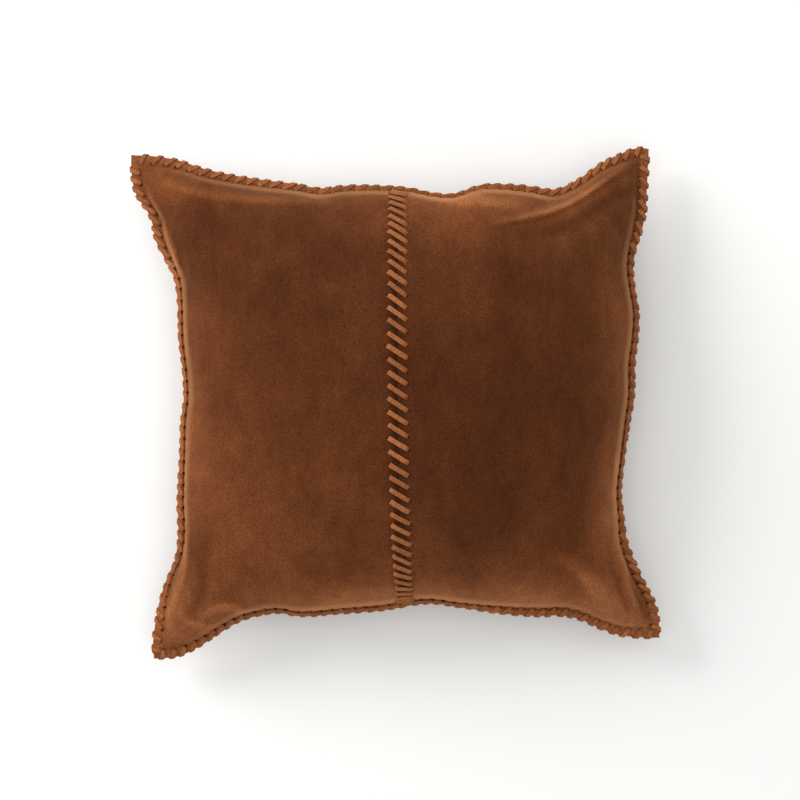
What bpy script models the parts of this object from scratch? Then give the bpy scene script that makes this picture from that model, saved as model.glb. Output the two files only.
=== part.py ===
"""Square suede throw pillow with thonged edges, lying on its back with its face up.

+X is the face's right, +Y its top edge, +Z the way the face looks. The origin is under the
middle of the cover, on the surface that the pillow lies on. All sizes are in metres.

The cover is two face panels, joined down the middle by a leather thong, and two back panels with
a coil zip between them. Face and back are laced together round a flat border with the same
thong. Inside lies a ticking case with its filling.
"""
import math

import bmesh
import bpy
import numpy as np

# ---- cover -----------------------------------------------------------------------------------
COVER_WIDTH = 0.4905         # corner to corner along X, mean of top and bottom
COVER_LENGTH = 0.4740        # corner to corner along Y, mean of left and right
CORNER_SHIFTS = {            # how far each soft corner lies from its square place
    "top_left": (-0.0082, 0.0006),
    "top_right": (-0.0015, 0.0054),
    "bottom_right": (0.0082, 0.0128),
    "bottom_left": (0.0149, -0.0064),
}
DIP_TOP = 0.035              # how far the filling draws each side in, at its middle
DIP_RIGHT = 0.027
DIP_BOTTOM = 0.038
DIP_LEFT = 0.041
DIP_POWER = 2.5              # the dip is (1 - |t|^power)^ease along a side, t = -1..1
DIP_EASE = 1.5
SEAM_HEIGHT = 0.064          # border's mid surface over the ground, at the middle of a side
CORNER_DROOP = 0.025         # how much lower the corners lie
FACE_CROWN = 0.0815          # rise of the face over the border
BACK_CROWN = 0.0800          # depth of the back under it, before the ground flattens it
CROWN_POWER = 2.2            # the crown is ((1 - |s|^power)^ease) in each direction, s = -1..1
CROWN_EASE = 0.556
BORDER = 0.009               # flat laced border round the edge
SUEDE = 0.0012               # thickness of the suede
SEAM_TOP = 0.0038            # X of the face's centre seam at the middle of the top side
SEAM_BOTTOM = 0.0120         # and at the middle of the bottom side
GAP = 0.0003                 # left between pieces that touch

# ---- thongs ----------------------------------------------------------------------------------
THONG = 0.0013               # thickness of the flat leather thong
LACE_REACH = 0.0075          # how far the edge lacing reaches in from the edge
LACE_CORNER = 0.011          # bare edge left at each corner
LACE_SLACK = 0.0010          # thong over the edge, clear of the suede
CENTRE_LACE_HALF = 0.0110    # half the width of the lacing over the centre seam
CENTRE_LACE_LIFT = 0.00045   # face to the thong's underside

# ---- insert ----------------------------------------------------------------------------------
TICKING = 0.0006             # thickness of the ticking
INSERT_FIT = 0.0020          # between cover and ticking
INSERT_EDGE_ROOM = 0.0080    # between the laced border and the ticking's own seam
TICKING_SEAM = 0.0050        # flat seam round the ticking
FILL_FIT = 0.0012            # between ticking and filling
FILL_EDGE_ROOM = 0.0100      # between the ticking's seam and the filling
FILL_RIM = 0.0020            # thickness of the filling at its edge

# ---- zip -------------------------------------------------------------------------------------
ZIP_END_ROOM = 0.04625       # each end of the coils to the cover's side, where it is narrowest
ZIP_FROM_BORDER = 0.029      # zip line from the border at the bottom edge, level
ZIP_HEIGHT = 0.0225          # zip line over the ground
ZIP_TILT = math.radians(37)  # the back's slope there
COIL_WIDTH = 0.0024          # one coil
COIL_HEIGHT = 0.0022
COIL_CHANNEL = 0.0012        # between the two coils, where the slider's post runs
COIL_CHAMFER = 0.28          # a coil's cut corner, as a share of its height
TAPE = 0.0006                # thickness of the tape
TAPE_REACH = 0.0140          # from the zip line to a tape's outer edge
TAPE_TAIL = 0.0080           # tape past each end of the coils
STOP_LENGTH = 0.0025
SLOT_ROOM = 0.0005           # slider's side to the suede's cut edge
SLOT_END_ROOM = 0.0015       # stop to the end of the slot
SLOT_CLOSING = 0.0012        # length over which the slot's end closes
SEWN_LINE = 0.0030           # cut edge to the row of sewing
SEWING_WIDTH = 0.0005
SEWING_HEIGHT = 0.00025
FLAT_MARGIN = 0.0025         # the back lies flat this far past the tape
FLAT_BLEND = 0.0155          # and takes this far to come back to its own crown

# ---- slider and pull -------------------------------------------------------------------------
SLIDER_LENGTH = 0.0105
SLIDER_CORNER = 0.3          # a plate's cut corner, as a share of its half width
SLIDER_PLATE = 0.0009
SLIDER_WALL = 0.0007
SLIDER_PLAY = 0.0003         # slider to coil, tape and post
POST_LENGTH = 0.0020
BRIDGE_LENGTH = 0.0080
BRIDGE_WIDTH = 0.0018
BRIDGE_BAR = 0.0009
PULL_LENGTH = 0.0180         # pin to end
PULL_WIDTH = 0.0050
PULL_THICKNESS = 0.0010
PULL_PLAY = 0.0004           # pin to plate and bridge, and bridge to window
PULL_WINDOW = 0.0058         # pin to the far end of the window
PULL_WAIST = 0.8             # tab below the window, as a share of its width at the pin
PULL_TURNS = 8               # steps of the tab's round end

# ---- grid lines ------------------------------------------------------------------------------
CROWN_LINES = (0.17, 0.34, 0.50, 0.64, 0.76, 0.86, 0.93, 0.975)   # s of the lines over a crown
INSERT_LINES = (0.17, 0.34, 0.50, 0.64, 0.76, 0.86, 0.94)         # s of those over the insert
LOWER_SHARES = (0.30, 0.55, 0.76, 0.91)                           # from the zip to a border
UPPER_SHARES = (0.07, 0.15, 0.24, 0.34, 0.44, 0.54, 0.64, 0.73, 0.82, 0.90, 0.96)
ZIP_LINES = 11               # lines between the ends of the zip's slot
ZIP_END_SHARES = (0.33, 0.67)   # lines from the insert's edge to the zip's flat part
EDGE_RINGS = 24              # sections along one side's lacing
HALVINGS = 40                # of the interval in which a line is looked for
STEP = 1e-4                  # for slopes, in u, v or t

# ---- worked out ------------------------------------------------------------------------------
ZIP_LENGTH = COVER_WIDTH - DIP_LEFT - DIP_RIGHT - 2 * ZIP_END_ROOM   # length of the coils
HALF_SHEETS = GAP / 2 + SUEDE                 # border's mid surface to its outer face
COIL_OUTER = COIL_CHANNEL / 2 + COIL_WIDTH    # zip line to a coil's outer side
SLIDER_HALF = COIL_OUTER + SLIDER_PLAY + SLIDER_WALL
SLOT_HALF = SLIDER_HALF + SLOT_ROOM
TAPE_TOP = COIL_HEIGHT / 2 + GAP              # depths in the zip's own frame, inwards positive
TAPE_BASE = TAPE_TOP + TAPE
SUEDE_BASE = TAPE_TOP - GAP
SUEDE_TOP = SUEDE_BASE - SUEDE
PLATE_IN_TOP = TAPE_BASE + SLIDER_PLAY
PLATE_IN_BASE = PLATE_IN_TOP + SLIDER_PLATE
PLATE_OUT_BASE = -COIL_HEIGHT / 2 - SLIDER_PLAY
PLATE_OUT_TOP = PLATE_OUT_BASE - SLIDER_PLATE
PIN_REACH = PULL_THICKNESS * math.sqrt(0.5)   # half the diagonal of the pull's square pin
PIN_DEPTH = PLATE_OUT_TOP - PULL_PLAY / 2 - PIN_REACH
BRIDGE_UNDER = PIN_DEPTH - PIN_REACH - PULL_PLAY / 2
BRIDGE_TOP = BRIDGE_UNDER - BRIDGE_BAR
SLOT_END = ZIP_LENGTH / 2 + GAP + STOP_LENGTH + SLOT_END_ROOM
SLIDER_REST = ZIP_LENGTH / 2 - SLIDER_LENGTH / 2 - GAP
TICKING_ZIP_DEPTH = PLATE_IN_BASE + INSERT_FIT / 2
FILL_ZIP_DEPTH = TICKING_ZIP_DEPTH + TICKING + FILL_FIT


def corner_points():
    """The four corners, placed so that their own box is centred on the origin."""
    half = np.array([COVER_WIDTH / 2, COVER_LENGTH / 2])
    signs = {"top_left": (-1, 1), "top_right": (1, 1), "bottom_right": (1, -1), "bottom_left": (-1, -1)}
    points = {name: half * signs[name] + np.array(CORNER_SHIFTS[name]) for name in signs}
    every = np.array(list(points.values()))
    middle = (every.max(axis=0) + every.min(axis=0)) / 2
    return {name: point - middle for name, point in points.items()}


CORNERS = corner_points()
SIDES = {                    # each side runs so that the pillow lies on its left
    "bottom": ("bottom_left", "bottom_right", DIP_BOTTOM),
    "right": ("bottom_right", "top_right", DIP_RIGHT),
    "top": ("top_right", "top_left", DIP_TOP),
    "left": ("top_left", "bottom_left", DIP_LEFT),
}


def side_point(side, t):
    """A point on one side, t = -1..1: the straight line between its corners, drawn in by the dip."""
    start, end, dip = SIDES[side]
    t = np.asarray(t, float)[..., None]
    run = CORNERS[end] - CORNERS[start]
    inwards = np.array([-run[1], run[0]]) / np.linalg.norm(run)
    drawn = dip * (1 - np.abs(t) ** DIP_POWER) ** DIP_EASE
    return CORNERS[start] + run * (t + 1) / 2 + inwards * drawn


def plan_point(u, v):
    """Where (u, v) in -1..1 lies in plan: a Coons patch stretched between the four sides."""
    u, v = np.broadcast_arrays(np.asarray(u, float), np.asarray(v, float))
    a, b = ((u + 1) / 2)[..., None], ((v + 1) / 2)[..., None]
    across = (1 - b) * side_point("bottom", u) + b * side_point("top", -u)
    along = (1 - a) * side_point("left", -v) + a * side_point("right", v)
    square = (1 - a) * (1 - b) * CORNERS["bottom_left"] + a * (1 - b) * CORNERS["bottom_right"]
    square = square + (1 - a) * b * CORNERS["top_left"] + a * b * CORNERS["top_right"]
    return across + along - square


def middle_height(u, v):
    """Height of the border's mid surface: level at the middles of the sides, lower at the corners."""
    return SEAM_HEIGHT - CORNER_DROOP * np.asarray(u) ** 2 * np.asarray(v) ** 2


def share_of_half(distance, across):
    """A distance in from an edge, as a share of the half width where the cover is narrowest."""
    half, dips = ((COVER_WIDTH, (DIP_LEFT, DIP_RIGHT)), (COVER_LENGTH, (DIP_TOP, DIP_BOTTOM)))[across]
    return distance / (half / 2 - max(dips))


def fold_lines(distance):
    """u and v of the line this far in from the edges."""
    return 1 - share_of_half(distance, 0), 1 - share_of_half(distance, 1)


def crown(u, v, fold):
    """How full the cover stands at (u, v): 1 in the middle and 0 from the fold lines outwards."""
    s, t = (np.minimum(np.abs(value) / line, 1) for value, line in zip((u, v), fold))
    return ((1 - s ** CROWN_POWER) * (1 - t ** CROWN_POWER)) ** CROWN_EASE


COVER_FOLD = fold_lines(BORDER)
TICKING_EDGE = fold_lines(BORDER + INSERT_EDGE_ROOM)
TICKING_FOLD = fold_lines(BORDER + INSERT_EDGE_ROOM + TICKING_SEAM)
FILL_EDGE = fold_lines(BORDER + INSERT_EDGE_ROOM + TICKING_SEAM + FILL_EDGE_ROOM)
ZIP_Y = float(side_point("bottom", 0.0)[1]) + BORDER + ZIP_FROM_BORDER
FLAT_X = ZIP_LENGTH / 2 + TAPE_TAIL + FLAT_MARGIN
FLAT_Y = (TAPE_REACH + FLAT_MARGIN) * math.cos(ZIP_TILT)


def smooth_fall(distance):
    """1 at and below zero, 0 from FLAT_BLEND on, with a smooth step between them."""
    t = np.clip(1 - distance / FLAT_BLEND, 0, 1)
    return t * t * (3 - 2 * t)


def face_point(u, v, fold, base, rise):
    """A point of a face-side surface: base over the mid surface, plus rise times the crown."""
    plan = plan_point(u, v)
    height = middle_height(u, v) + base + rise * crown(u, v, fold)
    return np.concatenate([plan, height[..., None]], axis=-1)


def back_point(u, v, fold, base, depth, ground, zip_depth, sewn=True):
    """A point of a back-side surface: its crown, stopped at the ground and laid flat at the zip.

    What is sewn to the zip follows its flat part both ways. What only lies behind it is pressed
    in there, and never drawn out.
    """
    plan = plan_point(u, v)
    height = middle_height(u, v) - base - depth * crown(u, v, fold)
    height = np.maximum(height, ground)
    off_zip = plan[..., 1] - ZIP_Y
    flat = ZIP_HEIGHT - off_zip * math.tan(ZIP_TILT) + zip_depth / math.cos(ZIP_TILT)
    near = smooth_fall(np.abs(plan[..., 0]) - FLAT_X) * smooth_fall(np.abs(off_zip) - FLAT_Y)
    moved = flat - height if sewn else np.maximum(flat - height, 0)
    return np.concatenate([plan, (height + near * moved)[..., None]], axis=-1)


def solve_v(u, y):
    """The v at which a line of constant u crosses y, found by halving the interval."""
    low, high = np.full(np.shape(u), -1.0), np.full(np.shape(u), 1.0)
    for _ in range(HALVINGS):
        middle = (low + high) / 2
        below = plan_point(u, middle)[..., 1] < y
        low, high = np.where(below, middle, low), np.where(below, high, middle)
    return (low + high) / 2


def solve_u_on_zip(x):
    """The u whose line crosses the zip line at x."""
    low, high = -1.0, 1.0
    for _ in range(HALVINGS):
        middle = (low + high) / 2
        at = plan_point(middle, solve_v(np.array(middle), ZIP_Y))[..., 0]
        low, high = (middle, high) if at < x else (low, middle)
    return (low + high) / 2


def solve_u_by_seam(v, offset):
    """The u that lies this far to the right of the face's centre seam, for every v."""
    low, high = np.full(np.shape(v), -1.0), np.full(np.shape(v), 1.0)
    top, bottom = side_point("top", 0.0)[1], side_point("bottom", 0.0)[1]
    for _ in range(HALVINGS):
        middle = (low + high) / 2
        plan = plan_point(middle, v)
        share = (plan[..., 1] - bottom) / (top - bottom)
        left_of = plan[..., 0] < SEAM_BOTTOM + share * (SEAM_TOP - SEAM_BOTTOM) + offset
        low, high = np.where(left_of, middle, low), np.where(left_of, high, middle)
    return (low + high) / 2


# ---- meshes ----------------------------------------------------------------------------------
def material(name, colour, roughness, metallic=0.0):
    made = bpy.data.materials.new(name)
    made.use_nodes = True
    shader = made.node_tree.nodes["Principled BSDF"]
    shader.inputs["Base Color"].default_value = (*colour, 1)
    shader.inputs["Roughness"].default_value = roughness
    shader.inputs["Metallic"].default_value = metallic
    return made


def new_object(name, vertices, faces, finish):
    mesh = bpy.data.meshes.new(name)
    mesh.from_pydata([tuple(map(float, vertex)) for vertex in vertices], [], faces)
    work = bmesh.new()
    work.from_mesh(mesh)
    bmesh.ops.recalc_face_normals(work, faces=work.faces)
    work.to_mesh(mesh)
    work.free()
    mesh.materials.append(finish)
    made = bpy.data.objects.new(name, mesh)
    bpy.context.scene.collection.objects.link(made)
    return made


def grid_faces(columns, rows, first=0, turned=False):
    """Quads of a grid whose vertices run along the rows first; turned flips the way they face."""
    faces = []
    for i in range(columns - 1):
        for j in range(rows - 1):
            a = first + i * rows + j
            quad = (a, a + rows, a + rows + 1, a + 1)
            faces.append(quad[::-1] if turned else quad)
    return faces


def grid_rim(columns, rows):
    """The indices round a grid's outer edge, in order."""
    bottom = [i * rows for i in range(columns)]
    right = [(columns - 1) * rows + j for j in range(1, rows)]
    top = [i * rows + rows - 1 for i in range(columns - 2, -1, -1)]
    left = list(range(rows - 2, 0, -1))
    return bottom + right + top + left


def sheet(name, points, thickness, finish, faces_down=False):
    """A sheet of even thickness whose outer face is a grid of points, with its thickness inside."""
    columns, rows = points.shape[:2]
    mesh = bpy.data.meshes.new(name)
    vertices = [tuple(map(float, point)) for point in points.reshape(-1, 3)]
    mesh.from_pydata(vertices, [], grid_faces(columns, rows, turned=faces_down))
    mesh.materials.append(finish)
    made = bpy.data.objects.new(name, mesh)
    bpy.context.scene.collection.objects.link(made)
    solid = made.modifiers.new("thickness", "SOLIDIFY")
    solid.thickness = thickness
    solid.offset = -1
    solid.use_even_offset = True
    return made


def closed_pillow(name, top, bottom, finish):
    """A solid between two grids that share their plan, with a low wall round its edge."""
    columns, rows = top.shape[:2]
    count = columns * rows
    faces = grid_faces(columns, rows) + grid_faces(columns, rows, first=count, turned=True)
    rim = grid_rim(columns, rows)
    for a, b in zip(rim, rim[1:] + rim[:1]):
        faces.append((a, a + count, b + count, b))
    return new_object(name, np.concatenate([top.reshape(-1, 3), bottom.reshape(-1, 3)]), faces, finish)


def extruded(name, outline, low, high, axis, finish, parent=None):
    """A solid with a flat outline, drawn in the other two axes in order, from low to high."""
    def place(pair, depth):
        point = list(pair)
        point.insert(axis, depth)
        return tuple(point)

    count = len(outline)
    vertices = [place(pair, depth) for depth in (low, high) for pair in outline]
    faces = [tuple(range(count)), tuple(range(count, 2 * count))]
    faces += [(i, (i + 1) % count, count + (i + 1) % count, count + i) for i in range(count)]
    made = new_object(name, vertices, faces, finish)
    made.parent = parent
    return made


def rectangle(low_a, high_a, low_b, high_b, cut=0.0):
    """A rectangle's outline, with its corners cut by a 45 degree chamfer where one is asked for."""
    if not cut:
        return [(low_a, low_b), (high_a, low_b), (high_a, high_b), (low_a, high_b)]
    return [
        (low_a + cut, low_b), (high_a - cut, low_b), (high_a, low_b + cut), (high_a, high_b - cut),
        (high_a - cut, high_b), (low_a + cut, high_b), (low_a, high_b - cut), (low_a, low_b + cut),
    ]


def cutter(tool):
    tool.hide_render = True
    tool.display_type = "WIRE"
    return tool


def combine(target, tool, operation):
    step = target.modifiers.new(f"{operation.lower()} {tool.name}", "BOOLEAN")
    step.operation = operation
    step.solver = "EXACT"
    step.object = cutter(tool)


# ---- cover -----------------------------------------------------------------------------------
def crown_lines(fold, lines):
    """Both halves of a grid over a crown, from its edge at 1 through the fold and the lines."""
    inner = [fold * s for s in lines]
    return [-1.0, -fold] + [-value for value in inner[::-1]] + [0.0] + inner + [fold, 1.0]


def make_face(suede):
    """Two face panels that meet edge to edge down the middle, with a line under the lacing's side."""
    rows = np.array(crown_lines(COVER_FOLD[1], CROWN_LINES))
    for name, side in (("front_panel_left", -1), ("front_panel_right", 1)):
        fold = np.full(len(rows), side * COVER_FOLD[0])
        lace = solve_u_by_seam(rows, side * CENTRE_LACE_HALF)
        columns = [solve_u_by_seam(rows, side * GAP / 2), lace]
        columns += [lace + s * (fold - lace) for s in CROWN_LINES]
        columns += [fold, np.full(len(rows), float(side))]
        u = np.stack(columns[::side])
        v = np.broadcast_to(rows, u.shape)
        sheet(name, face_point(u, v, COVER_FOLD, HALF_SHEETS, FACE_CROWN), SUEDE, suede)


def make_centre_lace(leather):
    """The band that the thong covers over the centre seam, from one border's wall to the other's."""
    rows = np.array(crown_lines(COVER_FOLD[1], CROWN_LINES)[2:-2])
    u = np.stack([solve_u_by_seam(rows, offset) for offset in (-CENTRE_LACE_HALF, 0, CENTRE_LACE_HALF)])
    v = np.broadcast_to(rows, u.shape)

    def outer(a, b):
        return face_point(a, b, COVER_FOLD, HALF_SHEETS, FACE_CROWN)

    along_u = outer(u + STEP, v) - outer(u - STEP, v)
    along_v = outer(u, v + STEP) - outer(u, v - STEP)
    normal = np.cross(along_u, along_v)
    normal /= np.linalg.norm(normal, axis=-1, keepdims=True)
    sheet("centre_lace", outer(u, v) + normal * (CENTRE_LACE_LIFT + THONG), THONG, leather)


def back_columns():
    """Lines of constant u over the back: over the insert's edge, and at the ends of the zip's slot
    and of its flat part."""
    left = [solve_u_on_zip(-x) for x in (FLAT_X, SLOT_END + SLOT_CLOSING, SLOT_END)]
    right = [solve_u_on_zip(x) for x in (SLOT_END, SLOT_END + SLOT_CLOSING, FLAT_X)]
    between = list(np.linspace(left[-1], right[0], ZIP_LINES + 2)[1:-1])
    fold_u, edge_u = COVER_FOLD[0], TICKING_EDGE[0]
    outer_left = [-1.0, -fold_u, -edge_u] + [-edge_u + s * (left[0] + edge_u) for s in ZIP_END_SHARES]
    outer_right = [1.0, fold_u, edge_u] + [edge_u + s * (right[-1] - edge_u) for s in ZIP_END_SHARES]
    return np.array(outer_left + left + between + right + outer_right[::-1])


def back_rows(columns, cut, shares, last_lines, towards):
    """v of each row over one back panel, from its cut edge to its outer edge, for every column.

    The shares divide the way from the zip's flat part to the first of the last lines.
    """
    flat = ZIP_Y + towards * FLAT_Y
    start = solve_v(columns, cut)
    level = solve_v(columns, np.full(len(columns), flat))
    rows = [start, level]
    rows += [level + share * (towards * last_lines[0] - level) for share in shares]
    rows += [np.full(len(columns), towards * line) for line in last_lines]
    return np.stack(rows, axis=1)


def make_back(suede):
    """Two back panels: their cut edges part round the zip and meet past its ends."""
    columns = back_columns()
    x = plan_point(columns, solve_v(columns, np.full(len(columns), ZIP_Y)))[..., 0]
    inside = np.abs(x) < SLOT_END + GAP
    half_slot = np.where(inside, SLOT_HALF, GAP) * math.cos(ZIP_TILT)
    for name, towards, shares in (
        ("back_panel_lower", -1, LOWER_SHARES),
        ("back_panel_upper", 1, UPPER_SHARES),
    ):
        last_lines = (TICKING_EDGE[1], COVER_FOLD[1], 1.0)
        v = back_rows(columns, ZIP_Y + towards * half_slot, shares, last_lines, towards)
        u = np.broadcast_to(columns[:, None], v.shape)
        points = back_point(u, v, COVER_FOLD, HALF_SHEETS, BACK_CROWN, 0.0, SUEDE_TOP)
        sheet(name, points, SUEDE, suede, faces_down=towards > 0)


def make_edge_lace(side, leather):
    """The band that the thong covers round one side: a channel over the edge, front to back."""
    start, end, _ = SIDES[side]
    length = np.linalg.norm(CORNERS[end] - CORNERS[start])
    reach = 1 - 2 * LACE_CORNER / length
    t = np.linspace(-reach, reach, EDGE_RINGS + 1)
    run = side_point(side, t + STEP) - side_point(side, t - STEP)
    outwards = np.stack([run[:, 1], -run[:, 0]], axis=1)
    outwards /= np.linalg.norm(outwards, axis=1, keepdims=True)

    def middle_uv(inset):
        """(u, v) of a point this far inside the edge, at each t."""
        return {
            "bottom": (t, inset - 1), "right": (1 - inset, t),
            "top": (-t, 1 - inset), "left": (inset - 1, -t),
        }[side]

    share = share_of_half(LACE_REACH, 0 if side in ("left", "right") else 1)
    near, far = HALF_SHEETS + GAP, HALF_SHEETS + GAP + THONG
    rings = []
    slack, outer = LACE_SLACK, LACE_SLACK + THONG
    for out, level in (
        (-1, far), (outer, far), (outer, -far), (-1, -far),
        (-1, -near), (slack, -near), (slack, near), (-1, near),
    ):
        u, v = middle_uv(share if out < 0 else 0.0)
        u, v = np.broadcast_arrays(np.asarray(u, float), np.asarray(v, float))
        plan = plan_point(u, v) + outwards * max(out, 0.0)
        rings.append(np.concatenate([plan, (middle_height(u, v) + level)[:, None]], axis=1))
    rings = np.stack(rings, axis=1)
    count = rings.shape[1]
    faces = []
    for i in range(EDGE_RINGS):
        for k in range(count):
            a, b = i * count + k, i * count + (k + 1) % count
            faces.append((a, b, b + count, a + count))
    for first in (0, EDGE_RINGS * count):
        faces += [tuple(first + k for k in quad) for quad in ((0, 1, 6, 7), (1, 2, 5, 6), (2, 3, 4, 5))]
    new_object(f"edge_lace_{side}", rings.reshape(-1, 3), faces, leather)


# ---- insert ----------------------------------------------------------------------------------
def insert_grid(edge, fold):
    """(u, v) over the insert, with rows at the sides of the zip's flat part."""
    inner = [fold[0] * s for s in INSERT_LINES]
    columns = [-edge[0], -fold[0]] + [-value for value in inner[::-1]] + [0.0] + inner
    columns = np.array(columns + [fold[0], edge[0]])
    line = np.full(len(columns), ZIP_Y)
    low = back_rows(columns, line, LOWER_SHARES, (fold[1], edge[1]), -1)
    high = back_rows(columns, line, UPPER_SHARES, (fold[1], edge[1]), 1)
    v = np.concatenate([low[:, ::-1], high[:, 1:]], axis=1)
    return np.broadcast_to(columns[:, None], v.shape), v


def make_insert(cotton, filling):
    """The ticking's two sides, and the filling inside them."""
    half = GAP / 2 + TICKING
    face_room = HALF_SHEETS + FACE_CROWN - SUEDE - INSERT_FIT
    back_room = HALF_SHEETS + BACK_CROWN - SUEDE - INSERT_FIT
    ground = SUEDE + INSERT_FIT
    u, v = insert_grid(TICKING_EDGE, TICKING_FOLD)
    face = face_point(u, v, TICKING_FOLD, half, face_room - half)
    back = back_point(
        u, v, TICKING_FOLD, half, back_room - half, ground, TICKING_ZIP_DEPTH, sewn=False
    )
    sheet("insert_ticking_front", face, TICKING, cotton)
    sheet("insert_ticking_back", back, TICKING, cotton, faces_down=True)

    rim, inside = FILL_RIM / 2, TICKING + FILL_FIT
    u, v = insert_grid(FILL_EDGE, FILL_EDGE)
    u, v = u[1:-1, 1:-1], v[1:-1, 1:-1]
    face = face_point(u, v, FILL_EDGE, rim, face_room - inside - rim)
    back = back_point(
        u, v, FILL_EDGE, rim, back_room - inside - rim, ground + inside, FILL_ZIP_DEPTH, sewn=False
    )
    closed_pillow("insert_fill", face, back, filling)


# ---- zip -------------------------------------------------------------------------------------
def make_zip(frame, tape, nylon, metal, thread):
    """Tapes, coils, stops and sewing, drawn in the zip's frame: X along it, Z into the pillow."""
    end = ZIP_LENGTH / 2
    coil_cut = COIL_HEIGHT * COIL_CHAMFER
    for name, side in (("upper", 1), ("lower", -1)):
        def band(inner, outer):
            return sorted((side * inner, side * outer))

        inner = COIL_CHANNEL / 2
        extruded(
            f"zip_tape_{name}",
            rectangle(*band(inner, TAPE_REACH), TAPE_TOP, TAPE_BASE),
            -end - TAPE_TAIL, end + TAPE_TAIL, 0, tape, frame,
        )
        extruded(
            f"zip_coil_{name}",
            rectangle(*band(inner, COIL_OUTER), -COIL_HEIGHT / 2, COIL_HEIGHT / 2, coil_cut),
            -end, end, 0, nylon, frame,
        )
        extruded(
            f"zip_top_stop_{name}",
            rectangle(*band(inner, COIL_OUTER), -COIL_HEIGHT / 2, COIL_HEIGHT / 2, coil_cut),
            end + GAP, end + GAP + STOP_LENGTH, 0, metal, frame,
        )
        row = SLOT_HALF + SEWN_LINE
        extruded(
            f"zip_sewing_{name}",
            rectangle(*band(row, row + SEWING_WIDTH), SUEDE_TOP - GAP - SEWING_HEIGHT, SUEDE_TOP - GAP),
            -SLOT_END, SLOT_END, 0, thread, frame,
        )
    extruded(
        "zip_bottom_stop",
        rectangle(-COIL_OUTER, COIL_OUTER, -COIL_HEIGHT / 2, COIL_HEIGHT / 2, coil_cut),
        -end - GAP - STOP_LENGTH, -end - GAP, 0, metal, frame,
    )


def make_slider(frame, metal):
    """Two plates on a post, the outer one with side walls round the coils and a bridge for the pull."""
    half = SLIDER_LENGTH / 2
    corner = SLIDER_HALF * SLIDER_CORNER
    plan = rectangle(-half, half, -SLIDER_HALF, SLIDER_HALF, corner)
    slider = extruded("zip_slider", plan, PLATE_OUT_TOP, PLATE_OUT_BASE, 2, metal, frame)
    slider.location.x = SLIDER_REST
    sunk = SLIDER_PLATE / 3
    parts = [extruded("slider_inner_plate", plan, PLATE_IN_TOP, PLATE_IN_BASE, 2, metal, slider)]
    post_half = COIL_CHANNEL / 2 - SLIDER_PLAY
    post_end = half - SLIDER_PLATE
    parts.append(extruded(
        "slider_post", rectangle(post_end - POST_LENGTH, post_end, -post_half, post_half),
        PLATE_OUT_BASE - sunk, PLATE_IN_TOP + sunk, 2, metal, slider,
    ))
    wall_ends = half - corner
    for name, side in (("upper", 1), ("lower", -1)):
        low, high = sorted((side * (SLIDER_HALF - SLIDER_WALL), side * SLIDER_HALF))
        parts.append(extruded(
            f"slider_wall_{name}", rectangle(-wall_ends, wall_ends, low, high),
            PLATE_OUT_BASE - sunk, TAPE_TOP - SLIDER_PLAY, 2, metal, slider,
        ))
    foot, bar = BRIDGE_LENGTH / 2, BRIDGE_LENGTH / 2 - BRIDGE_BAR
    arch = [
        (-foot, PLATE_OUT_TOP + sunk), (-foot, BRIDGE_TOP + BRIDGE_BAR / 2),
        (-foot + BRIDGE_BAR / 2, BRIDGE_TOP), (foot - BRIDGE_BAR / 2, BRIDGE_TOP),
        (foot, BRIDGE_TOP + BRIDGE_BAR / 2), (foot, PLATE_OUT_TOP + sunk),
        (bar, PLATE_OUT_TOP + sunk), (bar, BRIDGE_UNDER), (-bar, BRIDGE_UNDER), (-bar, PLATE_OUT_TOP + sunk),
    ]
    parts.append(extruded("slider_bridge", arch, -BRIDGE_WIDTH / 2, BRIDGE_WIDTH / 2, 1, metal, slider))
    for part in parts:
        combine(slider, part, "UNION")
    return slider


def make_pull(slider, metal):
    """A flat tab on a square pin under the bridge, with a window that the bridge passes through."""
    half, pin = PULL_WIDTH / 2, PULL_THICKNESS / 2
    waist = half * PULL_WAIST
    outline = [(-half, pin), (-half, -PULL_WINDOW - pin), (-waist, -PULL_WINDOW - 3 * pin)]
    for step in range(PULL_TURNS + 1):
        turn = math.pi * (1 + step / PULL_TURNS)
        outline.append((half * math.cos(turn), -PULL_LENGTH + half + half * math.sin(turn)))
    outline += [(waist, -PULL_WINDOW - 3 * pin), (half, -PULL_WINDOW - pin), (half, pin)]
    pull = extruded("zip_pull", outline, -pin, pin, 0, metal, slider)
    pull.location = (0, 0, PIN_DEPTH)
    opening = BRIDGE_WIDTH / 2 + PULL_PLAY
    window = extruded(
        "pull_window", rectangle(-opening, opening, -PULL_WINDOW, -pin), -2 * pin, 2 * pin, 0, metal, pull,
    )
    combine(pull, window, "DIFFERENCE")


def main():
    for old in list(bpy.data.objects):
        bpy.data.objects.remove(old)
    suede = material("brown suede", (0.128, 0.047, 0.018), 0.95)
    leather = material("tan suede thong", (0.26, 0.10, 0.04), 0.9)
    cotton = material("undyed cotton ticking", (0.80, 0.77, 0.70), 0.9)
    filling = material("feather filling", (0.90, 0.89, 0.86), 1.0)
    tape = material("brown polyester tape", (0.075, 0.035, 0.018), 0.85)
    nylon = material("brown nylon coil", (0.085, 0.038, 0.018), 0.45)
    brass = material("aged brass", (0.42, 0.29, 0.12), 0.38, 1.0)
    thread = material("brown sewing thread", (0.16, 0.065, 0.028), 0.7)

    make_face(suede)
    make_centre_lace(leather)
    make_back(suede)
    for side in SIDES:
        make_edge_lace(side, leather)
    make_insert(cotton, filling)
    frame = bpy.data.objects.new("zip_frame", None)
    bpy.context.scene.collection.objects.link(frame)
    frame.location = (0, ZIP_Y, ZIP_HEIGHT)
    frame.rotation_euler = (-ZIP_TILT, 0, 0)
    make_zip(frame, tape, nylon, brass, thread)
    make_pull(make_slider(frame, brass), brass)


main()
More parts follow.
